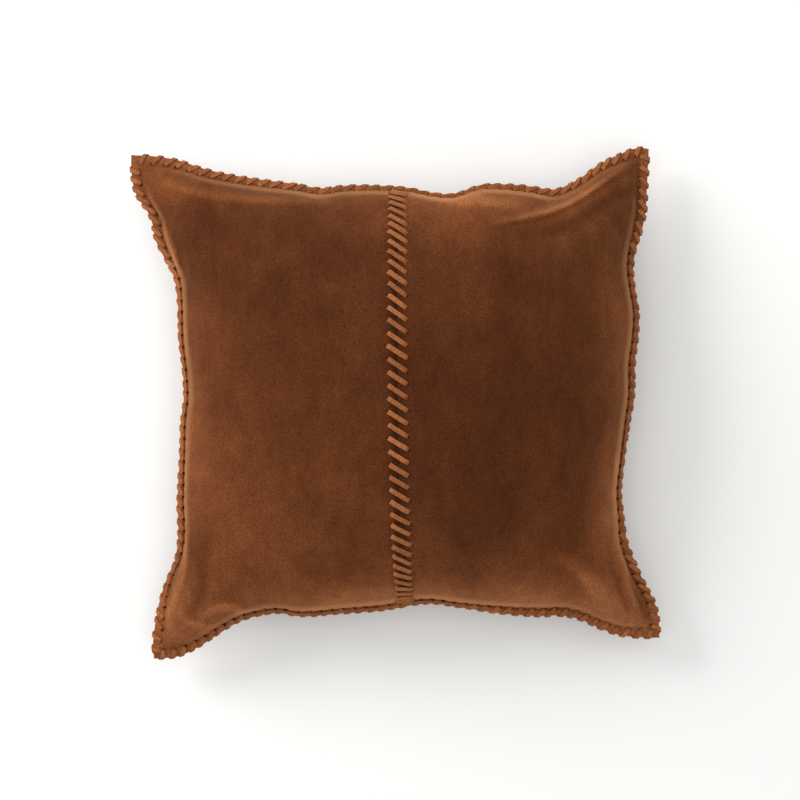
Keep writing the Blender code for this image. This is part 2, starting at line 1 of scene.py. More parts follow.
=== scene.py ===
"""Looks of a square suede throw pillow with thonged edges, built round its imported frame.

The pillow lies on its back: +X is the face's right, +Y its top edge, +Z up, all in metres. The cover
is blown up from its flat cut by a cloth simulation, and every piece of suede, thong and ticking is
then worked out on that surface. The zip's own frame and the four corners come from the CAD nodes.
"""

import math

import bpy
import numpy as np
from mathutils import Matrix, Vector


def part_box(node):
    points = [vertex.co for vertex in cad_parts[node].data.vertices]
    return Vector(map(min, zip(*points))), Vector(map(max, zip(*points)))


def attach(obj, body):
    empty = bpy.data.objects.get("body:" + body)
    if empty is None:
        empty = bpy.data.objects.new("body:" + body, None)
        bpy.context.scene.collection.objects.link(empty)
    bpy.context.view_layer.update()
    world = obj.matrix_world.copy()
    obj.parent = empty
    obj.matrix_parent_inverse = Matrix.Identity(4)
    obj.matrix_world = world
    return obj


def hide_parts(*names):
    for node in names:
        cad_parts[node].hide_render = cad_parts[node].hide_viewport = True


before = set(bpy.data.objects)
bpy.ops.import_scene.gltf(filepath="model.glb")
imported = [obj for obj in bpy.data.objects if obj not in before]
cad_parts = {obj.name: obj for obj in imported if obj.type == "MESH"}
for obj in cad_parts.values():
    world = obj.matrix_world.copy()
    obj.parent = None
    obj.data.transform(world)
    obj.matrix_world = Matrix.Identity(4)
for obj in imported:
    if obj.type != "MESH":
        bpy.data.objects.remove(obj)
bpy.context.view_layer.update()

MM = 0.001

# ---- cover ----
FLAT_SIDE = 0.508            # side of the flat cut, laced edge to laced edge
BORDER = 0.0075              # flat laced border round the edge
SUEDE = 0.0012               # thickness of the suede
GAP = 0.0003                 # between the two sheets of the border
HALF_SHEETS = GAP / 2 + SUEDE
SEAM_HEIGHT = 0.064          # the border's mid surface over the ground
CORNER_DROOP = 0.025         # how much lower the corners lie
FACE_CROWN = 0.0815          # rise of the face over the border
BACK_CROWN = 0.0800          # depth of the back under it, before the ground flattens it
TAKEN_UP = 0.985             # share of the flat cut left when its creases are taken up
FULLEST = 0.0880             # the filling's weight keeps the cover below about this rise
CENTRE_SEAM = (              # (Y, X) of the face's centre seam, in mm, bottom edge to top edge
    (-200, 12.4), (-185, 10.6), (-125, 7.0), (-40, 4.4), (70, 3.2), (205, 3.6),
)

# How far each soft corner lies from the CAD's: (X, Y) in mm.
CORNER_REACH = {
    "top_left": (0.4, 1.2), "bottom_left": (-0.8, -2.8),
    "top_right": (1.6, 2.4), "bottom_right": (2.2, -1.8),
}
CORNER_PART = 0.2            # share of an edge that a corner takes with it

# How far each edge is drawn in from the line between its corners: (share of the line, mm).
EDGE_DRAWN_IN = {
    "bottom": (
        (0, 0), (0.05, 1), (0.09, 9), (0.13, 20.5), (0.17, 31), (0.21, 36.5), (0.25, 38.5),
        (0.29, 35), (0.37, 36), (0.45, 37.5), (0.56, 42), (0.61, 37.5), (0.69, 30), (0.77, 25.5),
        (0.81, 25), (0.845, 20.5), (0.885, 11), (0.925, 3.5), (0.965, 1), (1, 0),
    ),
    "right": (
        (0, 0), (0.03, 0), (0.075, 4), (0.115, 13.5), (0.155, 21.5), (0.2, 29), (0.24, 31.5),
        (0.3, 34), (0.36, 31), (0.44, 25), (0.49, 20.5), (0.57, 18.5), (0.61, 15.5), (0.67, 14),
        (0.71, 16.5), (0.75, 18), (0.79, 15.5), (0.835, 8.5), (0.87, 4.5), (0.92, 2.5), (1, 0),
    ),
    "top": (
        (0, 0), (0.02, -1), (0.055, 4.5), (0.095, 14), (0.13, 26.5), (0.18, 37.5), (0.23, 34.5),
        (0.29, 32.5), (0.32, 33), (0.38, 42), (0.42, 40.5), (0.46, 36), (0.5, 34), (0.585, 33),
        (0.635, 35), (0.67, 31.5), (0.75, 25.5), (0.79, 22), (0.865, 13), (0.905, 6), (0.945, 2),
        (1, 0),
    ),
    "left": (
        (0, 0), (0.03, 0), (0.07, 2.5), (0.13, 18), (0.17, 21.5), (0.21, 30), (0.25, 38.5),
        (0.29, 40.5), (0.37, 40.5), (0.45, 43), (0.49, 42.5), (0.53, 39), (0.59, 36.5), (0.69, 31.5),
        (0.78, 29), (0.81, 25.5), (0.85, 16), (0.89, 8.5), (0.93, 3.5), (0.97, 0), (1, 0),
    ),
}

# How flat the border lies: (share of the edge's length, border's width in plan over its real width).
BORDER_SHOWS = {
    "bottom": ((0, 1), (0.1, 0.85), (0.2, 0.65), (0.5, 0.65), (0.6, 0.6), (0.7, 0.9), (0.8, 1), (1, 1)),
    "right": ((0, 1), (0.18, 1), (0.28, 0.6), (0.38, 0.5), (0.5, 0.7), (0.77, 0.72), (0.86, 1), (1, 1)),
    "top": ((0, 1), (0.2, 0.85), (0.28, 0.7), (0.36, 0.52), (0.46, 0.5), (0.56, 0.65), (0.8, 0.9), (1, 1)),
    "left": ((0, 1), (0.15, 1), (0.27, 0.62), (0.6, 0.62), (0.73, 0.8), (0.84, 0.65), (0.95, 1), (1, 1)),
}

# Creases of the face: the line they follow in plan, in mm, then their height, the width of the
# side left of that line, the width of its right side, and how much lighter they are coloured:
# painted highlight along a ridge, painted shade (below 0) along a hollow.
CREASES = (
    (((222, 226), (214, 221), (193, 206), (172, 192), (151, 182), (123, 174), (95, 168)), 4.8, 3, 4.5, 1.1),
    (((232, 206), (208, 194), (180, 176), (150, 160), (120, 156)), -3.0, 8, 8, -0.5),
    (((208, -50), (212, -88), (215, -118), (218, -147), (223, -172), (231, -194)), 3.4, 5, 3, 1.2),
    (((150, -140), (178, -162), (200, -186), (224, -211), (238, -216)), 5.0, 9, 7, 0.75),
    (((200, -120), (207, -160), (225, -202)), -3.0, 6, 5, -0.45),
    (((-198, -30), (-199, -126), (-197, -153), (-202, -172), (-213, -198)), 3.6, 4, 5, 0.9),
    (((-178, -140), (-184, -184), (-204, -214)), -2.8, 9, 7, -0.5),
    (((-180, -202), (-168, -194), (-155, -192), (-143, -197), (-112, -197)), 3.0, 4, 6, 0.9),
    (((-200, -206), (-186, -211), (-168, -212)), 1.4, 3, 3, 0.6),
    (((-196, 40), (-205, 116), (-212, 151), (-222, 171), (-232, 196)), 3.2, 4, 5, 1.1),
    (((-222, 212), (-190, 200), (-140, 192), (-60, 190)), 1.8, 6, 6, 0.7),
    (((-180, 200), (-172, 176), (-160, 150)), -1.6, 12, 12, -0.3),
    (((30, 194), (82, 190), (122, 184)), 2.4, 7, 6, 0.7),
    (((60, -198), (100, -192), (150, -180)), 1.8, 8, 8, 0.4),
    (((221, -147), (227, -172), (236, -192), (242, -206)), -1.2, 4, 4, -1.0),
    (((-204, -155), (-212, -174), (-218, -198)), -1.0, 4, 4, -0.7),
)

# Where the suede is coloured darker or lighter: the patch's middle and half sizes in mm, then how much.
# The light bands along the edges are painted highlight for the sheen where the cover curves down; the
# dark patches over the face are partly the nap's own tone and partly painted shade.
NAP_AND_PAINTED_LIGHT = (
    (95, -20, 90, 125, -0.42), (110, 40, 60, 60, -0.08), (-60, 120, 60, 60, -0.25),
    (-110, 70, 40, 70, -0.22), (75, 194, 85, 26, 0.85), (-215, -40, 42, 95, 0.58),
    (-130, -207, 90, 36, 0.8), (-20, -205, 60, 36, 1.4), (110, -200, 90, 42, 1.45),
    (30, 20, 22, 80, -0.25), (-165, 160, 46, 54, -0.38), (75, 145, 50, 20, 0.25),
    (-45, -20, 36, 110, -0.16),
    (212, -95, 27, 68, 1.15), (210, 60, 26, 90, 0.55), (-225, 215, 44, 34, 0.5),
    (225, 215, 44, 34, 0.3), (-80, -110, 70, 50, 0.12), (-150, -100, 40, 60, 0.28),
    (225, -205, 44, 40, 0.8), (-215, -205, 40, 40, 0.7),
)

# ---- thongs ----
EDGE_THONG_WIDTH = 0.0041
CENTRE_THONG_WIDTH = 0.0046
THONG_THICK = 0.0013
STITCH_PITCH = {"bottom": 0.0108, "right": 0.0107, "top": 0.0117, "left": 0.0111}   # hole to hole
STITCH_LEAD = {"bottom": 0.0074, "right": 0.0084, "top": 0.0094, "left": 0.0098}    # hole to edge
HOLE_INSET = 0.0068
HOLE_RADIUS, DIMPLE_RADIUS, DIMPLE_DEPTH = 0.0019, 0.0028, 0.0008
BARE_CORNER = {              # edge left without thong at a side's start and end
    "bottom": (0.0050, 0.0027), "right": (0.0067, 0.0025),
    "top": (0.0067, 0.0035), "left": (0.0125, 0.0010),
}
CENTRE_HALF = 0.0085         # centre seam to either row of holes
CENTRE_PITCH = 0.0103
CENTRE_DROP = 0.0122         # how far a centre stitch falls from left to right
CENTRE_START, CENTRE_STOP = 0.0062, 0.0034   # seam left bare at its top and its foot

# ---- zip ----
COIL_PITCH = 0.0015
COIL_STATIONS = 8            # in each turn of a coil
COIL_WIRE = 0.0006
COIL_WIDTH = 0.0024
COIL_HEIGHT = 0.0022
COIL_CHANNEL = 0.0012        # between the two coils
SEWN_STITCH = 0.0030
THREAD = 0.00045


# ---- frame of the pieces ----
def node_points(node):
    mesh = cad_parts[node].data
    points = np.empty(len(mesh.vertices) * 3)
    mesh.vertices.foreach_get("co", points)
    return points.reshape(-1, 3)


def outermost(node, x, y):
    """The plan of the node's vertex that lies furthest towards (x, y)."""
    points = node_points(node)[:, :2]
    return points[np.argmax(points @ np.array([x, y], float))]


CAD_CORNERS = {
    "top_left": outermost("front_panel_left", -1, 1),
    "bottom_left": outermost("front_panel_left", -1, -1),
    "top_right": outermost("front_panel_right", 1, 1),
    "bottom_right": outermost("front_panel_right", 1, -1),
}
CORNERS = {name: at + np.array(CORNER_REACH[name]) * MM for name, at in CAD_CORNERS.items()}
SIDES = {                    # each side runs so that the pillow lies on its left
    "bottom": ("bottom_left", "bottom_right"),
    "right": ("bottom_right", "top_right"),
    "top": ("top_right", "top_left"),
    "left": ("top_left", "bottom_left"),
}


def box_middle(node):
    low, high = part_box(node)
    return np.array((low + high) / 2)


UPPER_COIL, LOWER_COIL = box_middle("zip_coil_upper"), box_middle("zip_coil_lower")
ZIP_ORIGIN = (UPPER_COIL + LOWER_COIL) / 2
ZIP_Y_AXIS = (UPPER_COIL - LOWER_COIL) / np.linalg.norm(UPPER_COIL - LOWER_COIL)
ZIP_INWARDS = np.cross([1.0, 0.0, 0.0], ZIP_Y_AXIS)
ZIP_SLOPE = ZIP_Y_AXIS[2] / ZIP_Y_AXIS[1]
TAPE_HALF = float(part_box("zip_tape_upper")[1].x)
SLOT_HALF = 0.0045           # zip line to the suede's cut edge
SLOT_END = 0.1693
SUEDE_OVER_ZIP = -0.0001     # outer face of the suede in the zip's frame, inwards positive
FLAT_HALF_LENGTH = TAPE_HALF + 0.0025
FLAT_HALF_WIDTH = 0.0132
FLAT_BLEND = 0.0155          # how far past its flat part the back takes to reach its full shape
HELD_BLEND = 0.0120          # how far the zip's hold on the cloth takes to fade
SEWN_LINE = SLOT_HALF + 0.0033


def zip_point(along, across, inwards):
    """Points given in the zip's own frame: along X, across its two tapes, and into the pillow."""
    along, across, inwards = np.broadcast_arrays(along, across, inwards)
    return (ZIP_ORIGIN + along[..., None] * np.array([1.0, 0.0, 0.0])
            + across[..., None] * ZIP_Y_AXIS + inwards[..., None] * ZIP_INWARDS)


# ---- curves and surfaces ----
def smooth_through(knots, values, at):
    """A cubic between each two knots, whose slope at a knot is that of the line past it."""
    knots, values, at = (np.asarray(x, float) for x in (knots, values, at))
    slopes = np.gradient(values, knots)
    k = np.clip(np.searchsorted(knots, at, side="right") - 1, 0, len(knots) - 2)
    width = knots[k + 1] - knots[k]
    t = (at - knots[k]) / width
    return (values[k] * (2 * t**3 - 3 * t**2 + 1) + slopes[k] * width * (t**3 - 2 * t**2 + t)
            + values[k + 1] * (3 * t**2 - 2 * t**3) + slopes[k + 1] * width * (t**3 - t**2))


def smooth_step(value, low, high):
    t = np.clip((value - low) / (high - low), 0, 1)
    return t * t * (3 - 2 * t)


def edge_line(side):
    """An edge of the cover in plan, drawn in between its corners, as closely spaced points."""
    start, end = (CAD_CORNERS[name] for name in SIDES[side])
    share = np.linspace(0, 1, 1501)
    knots = np.array(EDGE_DRAWN_IN[side])
    drawn = smooth_through(knots[:, 0], knots[:, 1] * MM, share)
    run = end - start
    inwards = np.array([-run[1], run[0]]) / np.linalg.norm(run)
    line = start + run * share[:, None] + inwards * drawn[:, None]
    for name, from_corner in zip(SIDES[side], (share, 1 - share)):
        taken = np.clip(1 - from_corner / CORNER_PART, 0, 1) ** 2
        line = line + taken[:, None] * (CORNERS[name] - CAD_CORNERS[name])
    return line


def lengths_along(points):
    steps = np.linalg.norm(np.diff(points, axis=0), axis=1)
    return np.concatenate([[0.0], np.cumsum(steps)])


EDGES = {side: edge_line(side) for side in SIDES}
EDGE_LENGTHS = {side: lengths_along(EDGES[side]) for side in SIDES}


def edge_point(side, share):
    """Where an edge is at a share of its own length."""
    along = EDGE_LENGTHS[side]
    at = np.clip(share, 0, 1) * along[-1]
    return np.stack([np.interp(at, along, EDGES[side][:, k]) for k in (0, 1)], axis=-1)


def edge_outwards(side, share):
    """The direction straight out of the pillow from an edge."""
    step = 0.004
    run = edge_point(side, np.minimum(share + step, 1)) - edge_point(side, np.maximum(share - step, 0))
    out = np.stack([run[..., 1], -run[..., 0], np.zeros(run.shape[:-1])], axis=-1)
    return out / np.linalg.norm(out, axis=-1, keepdims=True)


EDGE_CURVE = 0.045           # about how far an edge's curve takes its middle in
FOLD = 1 - BORDER / (FLAT_SIDE / 2 - EDGE_CURVE)   # u and v of the border's inner line


def by_side(u, v):
    """For each side: the share along it and the distance inside it of (u, v)."""
    across, along = (1 + u) / 2, (1 + v) / 2
    unit = BORDER / (1 - FOLD)
    return {
        "bottom": (across, (1 + v) * unit), "right": (along, (1 - u) * unit),
        "top": (1 - across, (1 - v) * unit), "left": (1 - along, (1 + u) * unit),
    }


def border_shows(side, share):
    knots = np.array(BORDER_SHOWS[side])
    return np.minimum(smooth_through(knots[:, 0], knots[:, 1], np.clip(share, 0, 1)), 1)


def plan_point(u, v):
    """Where (u, v) in -1..1 lies in plan: a Coons patch stretched between the four edges.

    Where the border is tilted, its inner line moves towards the edge, and what lies inside it
    follows less and less.
    """
    u, v = np.broadcast_arrays(np.asarray(u, float), np.asarray(v, float))
    shift = 0
    for side, (share, inside) in by_side(u, v).items():
        amount = (1 - border_shows(side, share)) * np.clip(inside, 0, BORDER)
        fading = 1 - smooth_step(inside, BORDER, 0.06)
        shift = shift + (amount * fading)[..., None] * edge_outwards(side, share)[..., :2]
    a, b = (u + 1) / 2, (v + 1) / 2
    bottom, top = edge_point("bottom", a), edge_point("top", 1 - a)
    left, right = edge_point("left", 1 - b), edge_point("right", b)
    a, b = a[..., None], b[..., None]
    square = (1 - a) * (1 - b) * CORNERS["bottom_left"] + a * (1 - b) * CORNERS["bottom_right"]
    square = square + (1 - a) * b * CORNERS["top_left"] + a * b * CORNERS["top_right"]
    return (1 - b) * bottom + b * top + (1 - a) * left + a * right - square + shift


def border_height(u, v):
    """The border's mid surface: lower at the corners, and falling to its edge where it is tilted."""
    height = SEAM_HEIGHT - CORNER_DROOP * u**2 * v**2
    for side, (share, inside) in by_side(u, v).items():
        tilt = np.sqrt(1 - border_shows(side, share) ** 2)
        height = height - tilt * np.clip(BORDER - inside, 0, BORDER)
    return height


def crown(u, v):
    """How full the cover stands: ((1 - |s|^2.2)(1 - |t|^2.2))^0.556 inside the border, else 0."""
    s, t = np.minimum(np.abs(u) / FOLD, 1), np.minimum(np.abs(v) / FOLD, 1)
    return ((1 - s**2.2) * (1 - t**2.2)) ** 0.556


def over_zip(plan, blend=FLAT_BLEND):
    """1 where the back lies flat on the zip's tapes, falling to 0 this far past them."""
    off = np.abs(plan[..., 1] - ZIP_ORIGIN[1]) - FLAT_HALF_WIDTH
    along = np.abs(plan[..., 0]) - FLAT_HALF_LENGTH
    return 1 - smooth_step(np.hypot(np.maximum(along, 0), np.maximum(off, 0)), 0, blend)


def start_shape(u, v, up):
    """The cover before it is blown up, as the CAD has it: its crown, the ground and the flat zip."""
    plan = plan_point(u, v)
    if up:
        height = border_height(u, v) + HALF_SHEETS + FACE_CROWN * crown(u, v)
    else:
        height = np.maximum(border_height(u, v) - HALF_SHEETS - BACK_CROWN * crown(u, v), 0)
        off = plan[..., 1] - ZIP_ORIGIN[1]
        flat = ZIP_ORIGIN[2] + off * ZIP_SLOPE + SUEDE_OVER_ZIP / ZIP_INWARDS[2]
        height = height + over_zip(plan) * (flat - height)
    return np.concatenate([plan, height[..., None]], axis=-1)


# ---- cloth simulation ----
# u and v of the simulated grid's lines, and where those lines lie on the flat cut.
LINES = np.concatenate([[-1, -(1 + FOLD) / 2], np.linspace(-FOLD, FOLD, 83), [(1 + FOLD) / 2, 1]])
FLAT_LINES = np.sign(LINES) * np.where(
    np.abs(LINES) > FOLD,
    FLAT_SIDE / 2 - BORDER * (1 - np.abs(LINES)) / (1 - FOLD),
    np.abs(LINES) / FOLD * (FLAT_SIDE / 2 - BORDER) * TAKEN_UP + (1 - TAKEN_UP) * np.abs(LINES) * 0.2,
)


CLOTH_FRAMES = 30
PIN_LEVELS = 10
SOFT_SUEDE = {
    "quality": 7, "mass": 0.25, "tension_stiffness": 25, "compression_stiffness": 25,
    "shear_stiffness": 12, "bending_stiffness": 8, "tension_damping": 8, "compression_damping": 8,
    "shear_damping": 8, "bending_damping": 1, "use_pressure": True, "uniform_pressure_force": 4,
}
CAP = 0.028                  # how far the simulation may move a point
FINER = 3                    # grid lines of the finished surface for each one that is simulated
FINE_LINES = np.interp(
    np.linspace(0, len(LINES) - 1, (len(LINES) - 1) * FINER + 1), np.arange(len(LINES)), LINES,
)


def grid_quads(columns, rows, first=0, turned=False):
    """The quads of a grid whose vertices run along the rows first."""
    a = first + (np.arange(columns - 1)[:, None] * rows + np.arange(rows - 1)).reshape(-1)
    quads = np.stack([a, a + rows, a + rows + 1, a + 1], axis=1)
    return quads[:, ::-1] if turned else quads


def scene_object(name, data):
    made = bpy.data.objects.new(name, data)
    bpy.context.scene.collection.objects.link(made)
    return made


def mesh_object(name, points, faces):
    mesh = bpy.data.meshes.new(name)
    mesh.from_pydata(points.reshape(-1, 3).tolist(), [], [list(map(int, face)) for face in faces])
    return scene_object(name, mesh)


def blown_up(face, back, flat, held):
    """Cloth simulation of both sides of the cover. Its springs are as long as in the flat cut,
    its laced border and zip are held, and the filling pushes outwards.
    """
    count = len(LINES)
    quads = np.concatenate([
        grid_quads(count, count), grid_quads(count, count, first=count * count, turned=True),
    ])
    cloth = mesh_object("cover_cloth", np.concatenate([face.reshape(-1, 3), back.reshape(-1, 3)]), quads)
    cloth.shape_key_add(name="filled")
    cut = cloth.shape_key_add(name="flat_cut")
    cut.data.foreach_set("co", np.concatenate([flat.reshape(-1, 3)] * 2).ravel())
    pins = cloth.vertex_groups.new(name="held")
    levels = np.rint(held.ravel() * PIN_LEVELS)
    for level in range(1, PIN_LEVELS + 1):
        pins.add(np.flatnonzero(levels == level).tolist(), level / PIN_LEVELS, "REPLACE")
    step = cloth.modifiers.new("cloth", "CLOTH")
    for setting, value in SOFT_SUEDE.items():
        setattr(step.settings, setting, value)
    step.settings.vertex_group_mass = "held"
    step.settings.rest_shape_key = cut
    step.settings.effector_weights.gravity = 0
    step.collision_settings.use_collision = False
    step.point_cache.frame_start = 1
    step.point_cache.frame_end = CLOTH_FRAMES
    for frame_number in range(1, CLOTH_FRAMES + 1):
        bpy.context.scene.frame_set(frame_number)
    shown = cloth.evaluated_get(bpy.context.evaluated_depsgraph_get())
    points = np.empty(len(shown.data.vertices) * 3)
    shown.data.vertices.foreach_get("co", points)
    bpy.context.scene.frame_set(1)
    bpy.data.objects.remove(cloth)
    return points.reshape(2, count, count, 3)


# A crease's fifth figure is its painted highlight on a ridge, or its painted shade below 0 in a hollow.
HEIGHT, PAINTED_LIGHT = 1, 4        # places of a crease's figures


def creases(points, figure):
    """The sum over the creases of one figure of theirs times a bell of the distance to the
    crease's line, as wide as that side of it is, and lower towards the ends.
    """
    total = np.zeros(points.shape[:-1])
    for crease in CREASES:
        knots = np.array(crease[0]) * MM
        along = lengths_along(knots) / lengths_along(knots)[-1]
        share = np.linspace(0, 1, 60)
        path = np.stack([smooth_through(along, knots[:, k], share) for k in (0, 1)], axis=-1)
        run = np.gradient(path, axis=0)
        off = points[..., None, :2] - path
        apart = np.linalg.norm(off, axis=-1)
        nearest = apart.argmin(axis=-1)
        offset = np.take_along_axis(off, nearest[..., None, None], axis=-2)[..., 0, :]
        to_left = run[nearest, 0] * offset[..., 1] > run[nearest, 1] * offset[..., 0]
        width = np.where(to_left, crease[2], crease[3]) * MM
        taper = np.sin(math.pi * (0.06 + 0.88 * share[nearest])) ** 0.7
        bell = np.exp(-(apart.min(axis=-1) / width) ** 2)
        total += crease[figure] * taper * (bell if figure == HEIGHT else bell**1.8)
    return total


def nap_and_painted_light_tone(points):
    """How much lighter (or, below 0, darker) the suede is coloured: the bells of NAP_AND_PAINTED_LIGHT and
    of the creases, partly the nap's own tone and partly painted highlight and painted shade.
    """
    x, y = points[..., 0] / MM, points[..., 1] / MM
    return creases(points, PAINTED_LIGHT) + sum(
        amount * np.exp(-((x - at_x) / half_x) ** 2 - ((y - at_y) / half_y) ** 2)
        for at_x, at_y, half_x, half_y, amount in NAP_AND_PAINTED_LIGHT
    )


def kept_below(height, level):
    """The rise over a level, held smoothly below the fullest one: r / (1 + (r/R)^12)^(1/12)."""
    rise = np.maximum(height - level, 0)
    return np.minimum(height, level) + rise / (1 + (rise / FULLEST) ** 12) ** (1 / 12)


def filled_cover():
    """The outer faces of the cover, front and back, as grids over FINE_LINES x FINE_LINES."""
    u, v = np.meshgrid(LINES, LINES, indexing="ij")
    face, back = start_shape(u, v, True), start_shape(u, v, False)
    flat_x, flat_y = np.meshgrid(FLAT_LINES, FLAT_LINES, indexing="ij")
    flat = np.stack([flat_x, flat_y, np.zeros_like(flat_x)], axis=-1)
    border = (np.maximum(np.abs(u), np.abs(v)) > FOLD - 1e-6).astype(float)
    held = np.stack([border, np.maximum(border, over_zip(back, HELD_BLEND))])
    blown = blown_up(face, back, flat, held)
    for shape, start in zip(blown, (face, back)):
        moved = shape - start
        far = np.linalg.norm(moved, axis=-1, keepdims=True)
        shape[:] = start + moved * np.minimum(1, CAP / np.maximum(far, 1e-9))
    blown[0][..., 2] = kept_below(blown[0][..., 2], SEAM_HEIGHT + HALF_SHEETS)
    blown[1] += over_zip(back)[..., None] * (back - blown[1])
    face, back = refined(blown[0]), refined(blown[1])
    u, v = np.meshgrid(FINE_LINES, FINE_LINES, indexing="ij")
    inside = smooth_step(FOLD - np.maximum(np.abs(u), np.abs(v)), 0, 0.022)
    face[..., 2] += inside * creases(face, HEIGHT) * MM
    back[..., 2] = np.maximum(back[..., 2], 0)
    return face, back


def refined(grid):
    """The same surface over FINE_LINES."""
    u, v = np.meshgrid(FINE_LINES, FINE_LINES, indexing="ij")
    return on_surface(grid, u, v)


def on_surface(grid, u, v):
    """The smooth surface through a grid of points at (u, v): a Catmull-Rom cubic both ways."""
    u, v = np.broadcast_arrays(u, v)
    total = 0
    lines = LINES if len(grid) == len(LINES) else FINE_LINES
    numbers = np.arange(len(lines))
    weights = []
    for value in (u, v):
        at = np.interp(value, lines, numbers)
        first = np.clip(np.floor(at).astype(int), 0, len(lines) - 2)
        t = at - first
        cubic = (
            -0.5 * t + t**2 - 0.5 * t**3, 1 - 2.5 * t**2 + 1.5 * t**3,
            0.5 * t + 2 * t**2 - 1.5 * t**3, -0.5 * t**2 + 0.5 * t**3,
        )
        weights.append([(np.clip(first + k - 1, 0, len(lines) - 1), cubic[k]) for k in range(4)])
    for column, across in weights[0]:
        for row, along in weights[1]:
            total = total + grid[column, row] * (across * along)[..., None]
    return total


def surface_normal(grid, u, v):
    step = 0.004
    across = on_surface(grid, np.minimum(u + step, 1), v) - on_surface(grid, np.maximum(u - step, -1), v)
    along = on_surface(grid, u, np.minimum(v + step, 1)) - on_surface(grid, u, np.maximum(v - step, -1))
    normal = np.cross(across, along)
    return normal / np.linalg.norm(normal, axis=-1, keepdims=True)


FACE, BACK = filled_cover()


# ---- where the thongs and holes go ----
def edge_uv(side, share, inset):
    """(u, v) of a point at a share of an edge's length and this far inside it."""
    s, t = 2 * share - 1, 1 - inset * (1 - FOLD) / BORDER
    s, t = np.broadcast_arrays(s, t)
    return {"bottom": (s, -t), "right": (t, s), "top": (-s, t), "left": (-t, -s)}[side]


def stitch_shares(side):
    """Shares of an edge's length at which its holes are punched, and how much each stitch slants."""
    length = EDGE_LENGTHS[side][-1]
    bare_start, bare_end = BARE_CORNER[side]
    run = length - bare_start - bare_end
    count = round(run / STITCH_PITCH[side])
    at = bare_start + run * (np.arange(count) + 0.5) / count
    slant = np.minimum(smooth_step(at, 0, 0.075), smooth_step(length - at, 0, 0.035))
    return at / length, STITCH_LEAD[side] * (0.25 + 0.75 * slant) / length


def turning_place(shape, low, high, steps, is_below):
    """Where between low and high a test stops being true, found by halving, for every item."""
    low, high = np.full(shape, low), np.full(shape, high)
    for _ in range(steps):
        middle = (low + high) / 2
        below = is_below(middle)
        low, high = np.where(below, middle, low), np.where(below, high, middle)
    return (low + high) / 2


def seam_x(y):
    """X of the centre seam: straight down the face, then bending right towards its foot."""
    knots = np.array(CENTRE_SEAM) * MM
    return smooth_through(knots[:, 0], knots[:, 1], np.clip(y, knots[0, 0], knots[-1, 0]))


def seam_u(v, offset=0.0):
    """u of the line this far along the face to the right of the centre seam, for every v."""
    def left_of(u):
        point = on_surface(FACE, u, v)
        return point[..., 0] < seam_x(point[..., 1]) + offset

    v = np.asarray(v, float)
    return turning_place(v.shape, -0.5, 0.5, 24, left_of)


def closer_at_ends(count):
    """Numbers from -1 to 1 that lie closer together towards both ends: 1.15 t - 0.15 t^3."""
    t = np.linspace(-1, 1, count)
    return 1.15 * t - 0.15 * t**3


def seam_stitches():
    """v of the left and right hole of each centre stitch, spaced over the face's own curve."""
    v = np.linspace(FOLD, -FOLD, 801)
    along = lengths_along(on_surface(FACE, seam_u(v), v))
    length = along[-1]
    run = length - CENTRE_START - CENTRE_STOP
    left = CENTRE_START + run * (closer_at_ends(round(run / CENTRE_PITCH)) + 1) / 2
    drop = CENTRE_DROP * (0.45 + 0.55 * smooth_step(left, 0, 0.06))
    drop = drop * (0.15 + 0.85 * smooth_step(length - left, 0.008, 0.075))
    return np.interp(left, along, v), np.interp(np.minimum(left + drop, length), along, v)


STITCHES = {side: stitch_shares(side) for side in SIDES}
CENTRE_LEFT, CENTRE_RIGHT = seam_stitches()


def nearness(points, places, radius):
    """The bell exp(-(d/radius)^2) of each point's distance d to the nearest of some places."""
    best = np.zeros(points.shape[:-1])
    flat_points = points.reshape(-1, 3)
    out = best.reshape(-1)
    for start in range(0, len(flat_points), 4000):
        block = flat_points[start:start + 4000]
        apart = ((block[:, None, :] - places[None]) ** 2).sum(axis=2).min(axis=1)
        out[start:start + 4000] = np.exp(-apart / radius**2)
    return out.reshape(points.shape[:-1])


def edge_holes(grid):
    """Where the edge holes come through one side of the cover; the back's lie a pitch further on."""
    places = []
    for side, (share, _) in STITCHES.items():
        back_step = 0 if grid is FACE else STITCH_PITCH[side] / EDGE_LENGTHS[side][-1]
        places.append(on_surface(grid, *edge_uv(side, share - back_step, HOLE_INSET)))
    return np.concatenate(places)


def centre_holes():
    left = on_surface(FACE, seam_u(CENTRE_LEFT, -CENTRE_HALF), CENTRE_LEFT)
    right = on_surface(FACE, seam_u(CENTRE_RIGHT, CENTRE_HALF), CENTRE_RIGHT)
    return np.concatenate([left, right])


# ---- suede panels ----
def set_attribute(made, name, values):
    """Stores a number for each point of a piece, which its material reads by name."""
    layer = made.data.attributes.new(name, "FLOAT", "POINT")
    layer.data.foreach_set("value", np.asarray(values, np.float32).ravel())


def fitted(made, finish, node_name):
    """Gives a piece on the cushion its finish and its slot, in place of its CAD node."""
    made.data.materials.append(finish)
    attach(made, "cushion")
    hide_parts(node_name)
    return made


def fitted_sheet(made, thickness, finish, node_name):
    """Gives a surface its thickness inwards, shades it smooth and fits it."""
    solid = made.modifiers.new("thickness", "SOLIDIFY")
    solid.thickness = thickness
    solid.offset = -1
    solid.use_even_offset = True
    solid.use_quality_normals = True
    made.data.shade_smooth()
    return fitted(made, finish, node_name)


